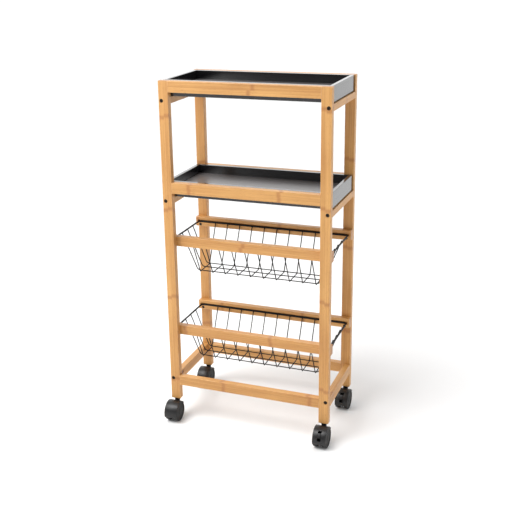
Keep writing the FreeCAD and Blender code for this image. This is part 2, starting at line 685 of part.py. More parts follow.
def make_stems():
    """The casters' steel stems and the grip sleeves around them in the legs."""
    stems = []
    sleeves = []
    length = dim("stem_top") - dim("stem_low")
    for x in (-STEM_X, STEM_X):
        for y in (STEM_FRONT, STEM_BACK):
            stem = rod((x, y, dim("stem_low")), (0, 0, 1), dim("stem_dia"), length)
            stems.append(stem)
            tube = rod((x, y, dim("leg_foot")), (0, 0, 1), dim("sleeve_dia"), dim("sleeve_long"))
            sleeves.append(tube.cut(stem))
    group("caster_stems", stems)
    group("caster_sleeves", sleeves)


# ---------------------------------------------------------------- whole cart
def check_nodes():
    """Stop if any object failed or any sub-part's shape is missing or broken."""
    for item in doc.Objects:
        if "Invalid" in item.State or "Error" in item.State:
            raise RuntimeError(f"{item.Label} did not compute")
    for node in nodes:
        if node.Shape.isNull() or not node.Shape.isValid():
            raise RuntimeError(f"{node.Label} has no valid shape")


def main():
    """Build every sub-part, check it and write one file for each."""
    make_frame()
    for tray, top in TRAYS.items():
        make_tray(tray, top)
    for basket, top in BASKETS.items():
        make_basket(basket, top)
    make_fasteners()
    make_stems()
    for end in ("front", "back"):
        for side in ("left", "right"):
            make_caster(end, side)
    doc.recompute()
    check_nodes()
    os.makedirs("parts", exist_ok=True)
    for node in nodes:
        node.Shape.exportStep(f"parts/{node.Label}.step")
    print(len(nodes), "sub-parts written")


main()
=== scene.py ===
"""A rolling utility cart: bamboo frame, two lacquered trays, two wire baskets and four twin-wheel casters."""

import json
import logging
import math
from dataclasses import dataclass
from enum import Enum
from typing import Any, Callable, Iterable, Union

import bmesh
import bpy
from mathutils import Matrix, Vector


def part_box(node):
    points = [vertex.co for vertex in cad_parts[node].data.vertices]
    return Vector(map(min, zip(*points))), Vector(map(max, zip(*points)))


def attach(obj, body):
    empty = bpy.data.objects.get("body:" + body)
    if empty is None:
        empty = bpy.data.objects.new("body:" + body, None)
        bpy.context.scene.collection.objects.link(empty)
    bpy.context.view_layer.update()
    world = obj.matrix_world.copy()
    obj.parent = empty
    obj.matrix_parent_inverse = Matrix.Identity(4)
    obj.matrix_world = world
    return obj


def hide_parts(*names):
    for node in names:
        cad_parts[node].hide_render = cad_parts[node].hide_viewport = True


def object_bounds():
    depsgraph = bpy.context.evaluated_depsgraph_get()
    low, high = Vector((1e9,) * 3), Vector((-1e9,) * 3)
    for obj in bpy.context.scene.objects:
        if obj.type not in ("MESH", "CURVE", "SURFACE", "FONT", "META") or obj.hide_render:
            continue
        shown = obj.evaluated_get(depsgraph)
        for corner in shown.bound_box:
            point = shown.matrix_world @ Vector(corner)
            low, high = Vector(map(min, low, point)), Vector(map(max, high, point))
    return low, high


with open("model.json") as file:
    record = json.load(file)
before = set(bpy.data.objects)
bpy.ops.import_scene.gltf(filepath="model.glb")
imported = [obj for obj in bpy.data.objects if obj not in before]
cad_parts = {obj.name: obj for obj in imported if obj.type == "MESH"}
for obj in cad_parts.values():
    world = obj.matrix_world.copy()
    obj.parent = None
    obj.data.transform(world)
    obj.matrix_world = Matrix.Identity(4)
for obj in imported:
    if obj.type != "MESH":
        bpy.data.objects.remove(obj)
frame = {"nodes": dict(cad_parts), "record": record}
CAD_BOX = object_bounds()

LOG = logging.getLogger("cart")
MM = 0.001
BODY_OF = {node: body for body, nodes in frame["record"]["behaviour"]["bodies"].items() for node in nodes}

Colour = tuple[float, float, float, float]
Piece = bpy.types.Object


class Side(Enum):
    """The two sides of the cart or of a caster."""

    LEFT = "left"
    RIGHT = "right"

    @property
    def sign(self) -> int:
        """-1 on the left, 1 on the right."""
        return -1 if self is Side.LEFT else 1


class End(Enum):
    """The front and the back of the cart."""

    FRONT = "front"
    BACK = "back"


class Shelf(Enum):
    """The two lacquered trays."""

    TOP = "top_tray"
    MIDDLE = "mid_tray"


class Hanging(Enum):
    """The two wire baskets."""

    UPPER = "upper_basket"
    LOWER = "lower_basket"


class Grain(Enum):
    """The axis that a bamboo strip runs along."""

    X = 0
    Y = 1
    Z = 2


def code(red: int, green: int, blue: int) -> Colour:
    """Turns a display colour code into linear light.

    Args:
        red: Red, 0 to 255.
        green: Green, 0 to 255.
        blue: Blue, 0 to 255.

    Returns:
        The colour as red, green, blue and a full alpha.
    """
    shares = [channel / 255 for channel in (red, green, blue)]
    linear = [s / 12.92 if s <= 0.04045 else ((s + 0.055) / 1.055) ** 2.4 for s in shares]
    return (*linear, 1.0)


# ---------------------------------------------------------------- the bench


class Bench:
    """Modelling by hand: each step starts with nothing selected and works on one piece."""

    @staticmethod
    def take(*pieces: Piece) -> None:
        """Selects these pieces alone, and makes the first one active.

        Args:
            *pieces: The pieces.
        """
        bpy.ops.object.select_all(action="DESELECT")
        for piece in pieces:
            piece.select_set(True)
        bpy.context.view_layer.objects.active = pieces[0]

    @staticmethod
    def settle(piece: Piece) -> None:
        """Puts a piece's place, turn and scale into its mesh."""
        Bench.take(piece)
        bpy.ops.object.transform_apply(location=True, rotation=True, scale=True)

    @staticmethod
    def start(name: str, add: Callable, scale: Iterable[float] = (1, 1, 1), **how: Any) -> Piece:
        """Adds the primitive that a piece is shaped from.

        Args:
            name: The piece's name.
            add: The operator that adds the primitive.
            scale: Its scale along X, Y and Z.
            **how: The operator's own settings.

        Returns:
            The new piece, with its origin at the frame's origin.
        """
        bpy.ops.object.select_all(action="DESELECT")
        add(**how)
        piece = bpy.context.object
        piece.name = name
        piece.data.name = name
        piece.scale = scale
        Bench.settle(piece)
        return piece

    @staticmethod
    def open(piece: Piece, mode: str = "FACE") -> None:
        """Opens a piece's mesh for editing, with nothing selected.

        Args:
            piece: The piece.
            mode: What is picked in it, VERT, EDGE or FACE.
        """
        Bench.take(piece)
        bpy.ops.object.mode_set(mode="EDIT")
        bpy.ops.mesh.select_mode(type=mode)
        bpy.ops.mesh.select_all(action="DESELECT")

    @staticmethod
    def close() -> None:
        """Closes the open mesh."""
        bpy.ops.object.mode_set(mode="OBJECT")

    @staticmethod
    def pick_faces(test: Callable[[Vector, Vector], bool]) -> None:
        """Selects the open mesh's faces that pass a test.

        Args:
            test: Takes a face's centre and normal, and says whether to select it.
        """
        bpy.ops.mesh.select_all(action="DESELECT")
        mesh = bpy.context.object.data
        shape = bmesh.from_edit_mesh(mesh)
        for face in shape.faces:
            if test(face.calc_center_median(), face.normal):
                face.select_set(True)
        bmesh.update_edit_mesh(mesh)

    @staticmethod
    def pick_edges(test: Callable[[Vector, Vector], bool]) -> None:
        """Selects the open mesh's edges that pass a test.

        Args:
            test: Takes an edge's two ends, and says whether to select it.
        """
        bpy.ops.mesh.select_all(action="DESELECT")
        mesh = bpy.context.object.data
        shape = bmesh.from_edit_mesh(mesh)
        for edge in shape.edges:
            if test(edge.verts[0].co, edge.verts[1].co):
                edge.select_set(True)
        bmesh.update_edit_mesh(mesh)

    @staticmethod
    def pick_all() -> None:
        """Selects the whole of the open mesh."""
        bpy.ops.mesh.select_all(action="SELECT")

    @staticmethod
    def push(way: Vector) -> None:
        """Extrudes the selected faces by a distance and direction."""
        bpy.ops.mesh.extrude_region_move(TRANSFORM_OT_translate={"value": tuple(way)})

    @staticmethod
    def faces_out(piece: Piece, merge: float = 0.002 * MM) -> None:
        """Merges a closed shell's doubles and turns its faces outwards.

        Args:
            piece: The closed shell.
            merge: How close two corners are when they count as one.
        """
        Bench.open(piece)
        Bench.pick_all()
        bpy.ops.mesh.remove_doubles(threshold=merge)
        bpy.ops.mesh.dissolve_degenerate(threshold=merge)
        bpy.ops.mesh.normals_make_consistent(inside=False)
        Bench.close()

    @staticmethod
    def modify(piece: Piece, kind: str, **settings: Any) -> None:
        """Runs one modifier on a piece and applies it.

        Args:
            piece: The piece.
            kind: The modifier's type.
            **settings: The modifier's own settings.
        """
        Bench.take(piece)
        step = piece.modifiers.new(kind.title(), kind)
        for name, value in settings.items():
            setattr(step, name, value)
        bpy.ops.object.modifier_apply(modifier=step.name)

    @staticmethod
    def combine(piece: Piece, tool: Piece, operation: str) -> None:
        """Adds a tool to a piece or cuts it away, and puts the tool away.

        Args:
            piece: The piece that is kept.
            tool: The shape that is used up.
            operation: UNION or DIFFERENCE.
        """
        Bench.modify(piece, "BOOLEAN", operation=operation, object=tool, solver="EXACT")
        bpy.data.objects.remove(tool)

    @staticmethod
    def smooth(piece: Piece, angle: float = 35.0) -> None:
        """Shades a piece smooth where its faces meet at less than an angle in degrees."""
        Bench.take(piece)
        bpy.ops.object.shade_smooth_by_angle(angle=math.radians(angle))

    @staticmethod
    def repeat(piece: Piece, name: str, move: Vector) -> Piece:
        """Copies a piece with a mesh of its own.

        Args:
            piece: The piece to copy.
            name: The copy's name.
            move: How far the copy lies from the piece.

        Returns:
            The copy, with its origin at the frame's origin.
        """
        twin = piece.copy()
        twin.data = piece.data.copy()
        twin.name = name
        twin.data.name = name
        bpy.context.scene.collection.objects.link(twin)
        twin.data.transform(Matrix.Translation(move))
        return twin

    @staticmethod
    def join(pieces: list[Piece], name: str) -> Piece:
        """Joins pieces into the first one, and names it.

        Args:
            pieces: The pieces, each used up but the first.
            name: The joined piece's name.

        Returns:
            The joined piece.
        """
        Bench.take(*pieces)
        bpy.ops.object.join()
        pieces[0].name = name
        return pieces[0]


def hand_over(piece: Piece, node: str, slot: str, *finishes: bpy.types.Material) -> None:
    """Dresses a piece and puts it in a CAD node's place.

    Args:
        piece: The finished piece.
        node: The CAD node that it stands for.
        slot: The record's material slot; not used.
        *finishes: Its materials, in the order of its faces' indices.
    """
    piece.data.materials.clear()
    for finish in finishes:
        piece.data.materials.append(finish)
    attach(piece, BODY_OF[node])
    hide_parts(node)
    LOG.info("%s: %d faces, stands for %s", piece.name, len(piece.data.polygons), node)


def dress(node: str, finish: bpy.types.Material) -> None:
    """Gives a CAD node that stays in view its finish.

    Args:
        node: The node.
        finish: Its material.
    """
    piece = frame["nodes"][node]
    if not piece.material_slots:
        piece.data.materials.append(finish)
    for place in piece.material_slots:
        place.material = finish
    LOG.info("%s: dressed in %s", node, finish.name)


# ---------------------------------------------------------------- finishes


class Flow:
    """A number on its way through a material's nodes, ready for plain arithmetic."""

    def __init__(self, graph: "Graph", socket: bpy.types.NodeSocket) -> None:
        """Keeps the graph and the socket that gives the number."""
        self.graph = graph
        self.socket = socket

    def __add__(self, other: "Number") -> "Flow":
        """This plus another."""
        return self.graph.reckon("ADD", self, other)

    def __sub__(self, other: "Number") -> "Flow":
        """This less another."""
        return self.graph.reckon("SUBTRACT", self, other)

    def __rsub__(self, other: "Number") -> "Flow":
        """Another less this."""
        return self.graph.reckon("SUBTRACT", other, self)

    def __mul__(self, other: "Number") -> "Flow":
        """This times another."""
        return self.graph.reckon("MULTIPLY", self, other)

    def __truediv__(self, other: "Number") -> "Flow":
        """This over another."""
        return self.graph.reckon("DIVIDE", self, other)

    __radd__ = __add__
    __rmul__ = __mul__

    def size(self) -> "Flow":
        """Its size without its sign."""
        return self.graph.reckon("ABSOLUTE", self)

    def whole(self) -> "Flow":
        """The whole number below it."""
        return self.graph.reckon("FLOOR", self)

    def rest(self) -> "Flow":
        """What is left of it above that whole number."""
        return self.graph.reckon("FRACT", self)

    def least(self, other: "Number") -> "Flow":
        """The smaller of the two."""
        return self.graph.reckon("MINIMUM", self, other)

    def most(self, other: "Number") -> "Flow":
        """The larger of the two."""
        return self.graph.reckon("MAXIMUM", self, other)

    def rise(self, low: float, high: float) -> "Flow":
        """A soft step from 0 at low to 1 at high.

        Args:
            low: Where the step starts.
            high: Where it ends.

        Returns:
            The step.
        """
        inputs = {0: self, 1: low, 2: high, 3: 0.0, 4: 1.0}
        node = self.graph.node("ShaderNodeMapRange", {"interpolation_type": "SMOOTHSTEP"}, inputs)
        return Flow(self.graph, node.outputs[0])

    def fall(self, low: float, high: float) -> "Flow":
        """A soft step from 1 at low to 0 at high."""
        return 1 - self.rise(low, high)


Number = Union[Flow, float, int]


class Graph:
    """The nodes of one material, or of the surroundings."""

    def __init__(self, owner: Any) -> None:
        """Opens the nodes of a material or a world.

        Args:
            owner: The material or world.
        """
        owner.use_nodes = True
        self.owner = owner
        self.tree = owner.node_tree

    @classmethod
    def of(cls, name: str) -> "Graph":
        """Starts a new material of that name."""
        return cls(bpy.data.materials.new(name))

    def node(self, kind: str, settings: dict[str, Any], inputs: dict[Any, Any]) -> bpy.types.Node:
        """Adds one node.

        Args:
            kind: The node's type.
            settings: Its own settings, set before its sockets.
            inputs: The value or link of each socket, by name or number.

        Returns:
            The node.
        """
        made = self.tree.nodes.new(kind)
        for name, value in settings.items():
            setattr(made, name, value)
        for socket, value in inputs.items():
            self.feed(made.inputs[socket], value)
        return made

    def feed(self, socket: bpy.types.NodeSocket, value: Any) -> None:
        """Links a socket to a flow or another socket, or sets its value.

        Args:
            socket: The socket to feed.
            value: What it is fed with.
        """
        if isinstance(value, Flow):
            value = value.socket
        if isinstance(value, bpy.types.NodeSocket):
            self.tree.links.new(value, socket)
        else:
            socket.default_value = value

    def reckon(self, operation: str, *values: Number) -> Flow:
        """Adds one Math node."""
        node = self.node("ShaderNodeMath", {"operation": operation}, dict(enumerate(values)))
        return Flow(self, node.outputs[0])

    def split(self, socket: bpy.types.NodeSocket) -> tuple[Flow, Flow, Flow]:
        """The X, Y and Z of a vector."""
        outputs = self.node("ShaderNodeSeparateXYZ", {}, {0: socket}).outputs
        return Flow(self, outputs[0]), Flow(self, outputs[1]), Flow(self, outputs[2])

    def point(self, x: Number, y: Number, z: Number) -> bpy.types.NodeSocket:
        """A vector from its three numbers."""
        return self.node("ShaderNodeCombineXYZ", {}, {0: x, 1: y, 2: z}).outputs[0]

    def place(self) -> bpy.types.NodeSocket:
        """The point of the piece, in metres in the cart's frame."""
        return self.node("ShaderNodeTexCoord", {}, {}).outputs["Object"]

    def facing(self) -> bpy.types.NodeSocket:
        """The way that the surface faces, in the cart's frame."""
        return self.node("ShaderNodeTexCoord", {}, {}).outputs["Normal"]

    def noise(self, place: bpy.types.NodeSocket, scale: float, detail: float) -> Flow:
        """Soft noise.

        Args:
            place: Where it is read.
            scale: Its lumps to the metre.
            detail: How many finer layers it has.

        Returns:
            The noise, about 0.5.
        """
        inputs = {"Vector": place, "Scale": scale, "Detail": detail}
        node = self.node("ShaderNodeTexNoise", {"noise_dimensions": "3D"}, inputs)
        return Flow(self, node.outputs[0])

    def chance(self, number: Number) -> Flow:
        """A random number from 0 to 1 that goes with a number."""
        node = self.node("ShaderNodeTexWhiteNoise", {"noise_dimensions": "1D"}, {"W": number})
        return Flow(self, node.outputs[0])

    def mix(self, share: Number, first: Any, second: Any) -> bpy.types.NodeSocket:
        """Mixes two colours.

        Args:
            share: How much of the second one.
            first: A colour or a link.
            second: A colour or a link.

        Returns:
            The mixed colour's socket.
        """
        settings = {"data_type": "RGBA", "blend_type": "MIX", "clamp_factor": True}
        return self.node("ShaderNodeMix", settings, {0: share, 6: first, 7: second}).outputs[2]

    def bump(self, height: Flow, distance: float, strength: float) -> bpy.types.NodeSocket:
        """Raises the surface by a height of 0 to 1 times a distance."""
        inputs = {"Height": height, "Distance": distance, "Strength": strength}
        return self.node("ShaderNodeBump", {}, inputs).outputs["Normal"]

    def surface(self, **sockets: Any) -> bpy.types.Material:
        """Sets the surface shader's sockets, named with _ for a space.

        Args:
            **sockets: The value or link of each socket.

        Returns:
            The material.
        """
        shader = self.tree.nodes["Principled BSDF"]
        for name, value in sockets.items():
            self.feed(shader.inputs[name.replace("_", " ")], value)
        return self.owner


@dataclass(frozen=True)
class Bamboo:
    """A strip glued up from bamboo lanes, under a thin satin lacquer."""

    node: str
    grain: Grain
    seed: float
    pale: Colour = code(217, 165, 97)
    deep: Colour = code(184, 128, 66)
    knuckle: Colour = code(166, 101, 48)
    vein: Colour = code(126, 76, 36)
    cut_end: Colour = code(172, 116, 66)
    # Wear and painted highlight: a pale edge colour that is partly rubbed lacquer and partly the arrises'
    # highlight painted in.
    worn_and_highlight: Colour = code(236, 194, 144)
    lane: float = 12.5 * MM
    layer: float = 5.3 * MM
    knuckle_pitch: float = 228 * MM
    arris: float = 1.3 * MM
    band_half: tuple[float, float] = (2 * MM, 8 * MM)
    line_half: tuple[float, float] = (0.2 * MM, 1.0 * MM)
    line_offset: float = 1.4 * MM
    ragged: float = 2.4 * MM
    fleck_share: float = 0.3
    hair_share: float = 0.22
    band_share: float = 0.48
    line_share: float = 0.3
    end_share: float = 0.8
    edge_share: float = 0.45

    def axes(self) -> tuple[int, int, int]:
        """The numbers of the axes along, across and through the strip."""
        return {Grain.X: (0, 2, 1), Grain.Y: (1, 2, 0), Grain.Z: (2, 0, 1)}[self.grain]

    def edge(self, graph: Graph, spot: tuple[Flow, Flow, Flow]) -> Flow:
        """How close a spot is to an edge of the strip.

        Args:
            graph: The material's nodes.
            spot: The spot's three coordinates.

        Returns:
            1 on an edge, 0 away from it.
        """
        low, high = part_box(self.node)
        one, two, three = [(s - low[i]).least(high[i] - s) for i, s in enumerate(spot)]
        second = one.least(two).most(one.most(two).least(three))
        return second.fall(0.2 * self.arris, self.arris)

    def make(self) -> bpy.types.Material:
        """Builds the finish.

        Returns:
            The material.
        """
        graph = Graph.of(f"bamboo_{self.node}")
        spot = graph.split(graph.place())
        low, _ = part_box(self.node)
        run, width, depth = self.axes()
        along, across, through = spot[run], spot[width], spot[depth]
        layer = ((through - low[depth]) / self.layer).whole()
        lane = ((across - low[width]) / self.lane).whole() + layer * 7
        tone = graph.chance(lane + self.seed * 31)
        fibre = graph.noise(graph.point(across * 34, through * 34, along * 0.55 + self.seed), 12, 4)
        hair = graph.noise(graph.point(across * 40, through * 40, along * 0.9), 60, 3)
        fleck = graph.noise(graph.point(across * 30, through * 30, along * 2.6), 40, 2).rise(0.60, 0.72)
        cloud = graph.noise(graph.point(across * 3, through * 3, along + self.seed), 7, 2)
        phase = along / self.knuckle_pitch + self.seed * 0.618 + tone * 0.05
        near = ((phase.rest() - 0.5) * self.knuckle_pitch + (fibre - 0.5) * self.ragged).size()
        band = near.fall(*self.band_half)
        line = (near - self.line_offset).size().fall(*self.line_half)
        end = graph.split(graph.facing())[run].size().rise(0.6, 0.9)
        edge = self.edge(graph, spot) * graph.noise(graph.place(), 90, 2).rise(0.35, 0.6)
        base = graph.mix((fibre - 0.5) * 1.5 + (tone - 0.5) * 0.35 + cloud - 0.05, self.deep, self.pale)
        base = graph.mix(fleck * self.fleck_share, base, self.vein)
        base = graph.mix(hair.rise(0.55, 0.8) * self.hair_share, base, self.vein)
        base = graph.mix(band * self.band_share, base, self.knuckle)
        base = graph.mix(line * self.line_share, base, self.vein)
        base = graph.mix(end * self.end_share, base, self.cut_end)
        # Lightens the strip near its edges: wear, and a painted highlight along the arrises.
        base = graph.mix(edge * self.edge_share, base, self.worn_and_highlight)
        return graph.surface(
            Base_Color=base,
            Roughness=0.44 + hair * 0.12 - band * 0.06,
            Coat_Weight=0.22,
            Coat_Roughness=0.3,
            Normal=graph.bump(hair * 0.5 + fibre * 0.5 + line * 0.4, 0.12 * MM, 0.5),
        )


@dataclass(frozen=True)
class Lacquer:
    """Board under black lacquer, from gloss to satin; a lighter base colour paints a sheen in."""

    name: str
    haze: float
    coat: float
    # The base colour: near black for the gloss boards, grey for the satin floors, where the grey is a painted
    # sheen.
    lacquer: Colour = code(16, 15, 17)
    dust: Colour = code(92, 90, 92)

    def make(self) -> bpy.types.Material:
        """Builds the finish.

        Returns:
            The material.
        """
        graph = Graph.of(self.name)
        place = graph.place()
        film = graph.noise(place, 14, 3)
        speck = graph.noise(place, 900, 1).rise(0.74, 0.80)
        peel = graph.noise(place, 320, 2)
        base = graph.mix(film.rise(0.5, 0.85) * 0.05 + speck * 0.12, self.lacquer, self.dust)
        return graph.surface(
            Base_Color=base,
            Roughness=self.haze * 1.4 + film * 0.12 + speck * 0.3,
            Coat_Weight=self.coat,
            Coat_Roughness=self.haze,
            Normal=graph.bump(peel, 0.02 * MM, 0.35),
        )


@dataclass(frozen=True)
class PowderCoat:
    """Steel wire under a satin black powder coat."""

    name: str = "black_powder_coat"
    powder: Colour = code(12, 11, 11)
    rubbed: Colour = code(40, 36, 34)

    def make(self) -> bpy.types.Material:
        """Builds the finish.

        Returns:
            The material.
        """
        graph = Graph.of(self.name)
        place = graph.place()
        pebble = graph.noise(place, 1500, 2)
        rubbing = graph.noise(place, 45, 3).rise(0.56, 0.75)
        return graph.surface(
            Base_Color=graph.mix(rubbing * 0.3 + pebble * 0.1, self.powder, self.rubbed),
            Roughness=0.42 + pebble * 0.2,
            Specular_IOR_Level=0.25,
            Normal=graph.bump(pebble, 0.08 * MM, 0.4),
        )


@dataclass(frozen=True)
class Moulding:
    """Moulded black plastic or rubber with a fine spark texture."""

    name: str
    tint: Colour
    scuff: Colour
    roughness: float
    texture: float = 0.05 * MM

    def make(self) -> bpy.types.Material:
        """Builds the finish.

        Returns:
            The material.
        """
        graph = Graph.of(self.name)
        place = graph.place()
        spark = graph.noise(place, 2200, 2)
        flow = graph.noise(place, 60, 3)
        scuffed = graph.noise(place, 260, 4).rise(0.58, 0.74)
        return graph.surface(
            Base_Color=graph.mix(scuffed * 0.35 + flow * 0.15, self.tint, self.scuff),
            Roughness=self.roughness + spark * 0.12 + scuffed * 0.1,
            Normal=graph.bump(spark, self.texture, 0.5),
        )


@dataclass(frozen=True)
class PlatedSteel:
    """Turned steel under a thin plating."""

    name: str = "zinc_plated_steel"
    bright: Colour = code(190, 192, 196)
    dull: Colour = code(126, 122, 116)

    def make(self) -> bpy.types.Material:
        """Builds the finish.

        Returns:
            The material.
        """
        graph = Graph.of(self.name)
        place = graph.place()
        bloom = graph.noise(place, 180, 4)
        turning = graph.noise(place, 1800, 2)
        return graph.surface(
            Base_Color=graph.mix(bloom.rise(0.4, 0.7) * 0.6, self.bright, self.dull),
            Metallic=1.0,
            Roughness=0.24 + bloom * 0.2 + turning * 0.06,
            Normal=graph.bump(turning, 0.03 * MM, 0.4),
        )


@dataclass(frozen=True)
class Beech:
    """Bare turned beech."""

    name: str = "beech_dowel"
    pale: Colour = code(222, 186, 142)
    ray: Colour = code(168, 120, 78)

    def make(self) -> bpy.types.Material:
        """Builds the finish.

        Returns:
            The material.
        """
        graph = Graph.of(self.name)
        x, y, z = graph.split(graph.place())
        ray = graph.noise(graph.point(x * 2, y * 14, z * 14), 60, 3)
        return graph.surface(
            Base_Color=graph.mix(ray.rise(0.45, 0.75) * 0.6, self.pale, self.ray),
            Roughness=0.6 + ray * 0.15,
            Normal=graph.bump(ray, 0.06 * MM, 0.5),
        )


# ---------------------------------------------------------------- joinery and hardware


@dataclass
class Joinery:
    """The bamboo strips: legs, tray rails, basket rails and the base frame."""

    seed_step: float = 1.37

    def strips(self) -> list[tuple[str, Grain]]:
        """Every bamboo node with the axis that it runs along.

        Returns:
            Each node with its axis.
        """
        legs = [(f"leg_{end.value}_{side.value}", Grain.Z) for end in End for side in Side]
        shelves = [shelf.value for shelf in Shelf] + ["base"]
        cross = [(f"{name}_{end.value}_rail", Grain.X) for name in shelves for end in End]
        deep = [(f"{name}_{side.value}_rail", Grain.Y) for name in shelves for side in Side]
        hung = [(f"{hanging.value}_{end.value}_rail", Grain.X) for hanging in Hanging for end in End]
        return legs + cross + deep + hung

    def build(self) -> None:
        """Gives each strip a bamboo of its own."""
        for number, (node, grain) in enumerate(self.strips()):
            dress(node, Bamboo(node, grain, number * self.seed_step).make())


@dataclass
class Hardware:
    """Bolts, nuts, screws, stems, sleeves, axles and dowels."""

    plastic: bpy.types.Material

    def build(self) -> None:
        """Dresses the fasteners and the casters' steel."""
        steel = PlatedSteel().make()
        # Painted shade: the frame bolts' steel is darkened for the shade in the sockets they sit in; the
        # basket rail screws share it.
        recess_shade_steel = PlatedSteel("steel_darkened_for_recess_shade", code(70, 62, 56), code(34, 29, 27)).make()
        axles = [f"caster_{end.value}_{side.value}_axle" for end in End for side in Side]
        for node in ["barrel_nuts", "caster_stems"] + axles:
            dress(node, steel)
        for node in ("frame_bolts", "basket_rail_screws"):
            dress(node, recess_shade_steel)
        dress("caster_sleeves", self.plastic)
        dress("rail_dowels", Beech().make())


# ---------------------------------------------------------------- trays


@dataclass
class TrayBoards:
    """One tray: a floor panel boxed in by four boards, all lacquered."""

    shelf: Shelf
    gloss: bpy.types.Material
    satin: bpy.types.Material
    arris: float = 0.9 * MM
    arris_steps: int = 3
    names: tuple[str, ...] = ("left_end", "right_end", "front_board", "back_board", "floor")

    def board(self, node: str) -> Piece:
        """Cuts a board to its place and rounds its edges.

        Args:
            node: The CAD node that it stands for.

        Returns:
            The board.
        """
        low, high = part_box(node)
        middle = (low + high) / 2
        piece = Bench.start(
            f"{node}_lacquered", bpy.ops.mesh.primitive_cube_add, high - low, size=1, location=middle,
        )
        Bench.open(piece, "EDGE")
        Bench.pick_all()
        bpy.ops.mesh.bevel(offset=self.arris, segments=self.arris_steps, affect="EDGES")
        Bench.close()
        Bench.smooth(piece, 50)
        Bench.modify(piece, "WEIGHTED_NORMAL", keep_sharp=False, weight=90)
        return piece

    def build(self) -> None:
        """Makes the tray's five boards."""
        for name in self.names:
            node = f"{self.shelf.value}_{name}"
            # The floors take the satin lacquer, whose grey base colour is a painted sheen.
            hand_over(self.board(node), node, "black_board", self.satin if name == "floor" else self.gloss)


# ---------------------------------------------------------------- baskets


@dataclass
class WireBender:
    """Bends a wire along straight runs with round corners."""

    radius: float
    bend: float
    sides: int = 14
    steps: int = 6

    def run(self, name: str, points: list[Vector], closed: bool = False) -> Piece:
        """Bends one wire.

        Args:
            name: The wire's name.
            points: Its ends and the corners between its runs.
            closed: Whether its ends meet and are welded.

        Returns:
            The wire.
        """
        ways = [(after - before).normalized() for before, after in zip(points, points[1:])]
        piece = Bench.start(
            name, bpy.ops.mesh.primitive_circle_add, vertices=self.sides, radius=self.radius,
            fill_type="NGON", location=points[0], rotation=ways[0].to_track_quat("Z", "Y").to_euler(),
        )
        Bench.open(piece)
        Bench.pick_all()
        here = points[0]
        for corner, way, after in zip(points[1:], ways, ways[1:]):
            turn = way.angle(after)
            cut = self.bend * math.tan(turn / 2)
            Bench.push(corner - way * cut - here)
            axis = way.cross(after).normalized()
            centre = corner - way * cut + axis.cross(way) * self.bend
            bpy.ops.mesh.spin(steps=self.steps, angle=turn, center=centre, axis=-axis)
            here = corner + after * cut
        Bench.push(points[-1] - here)
        if closed:
            Bench.pick_faces(lambda centre, normal: (centre - points[0]).length < 0.1 * self.radius)
            bpy.ops.mesh.delete(type="FACE")
        Bench.close()
        Bench.faces_out(piece)
        Bench.smooth(piece, 60)
        return piece


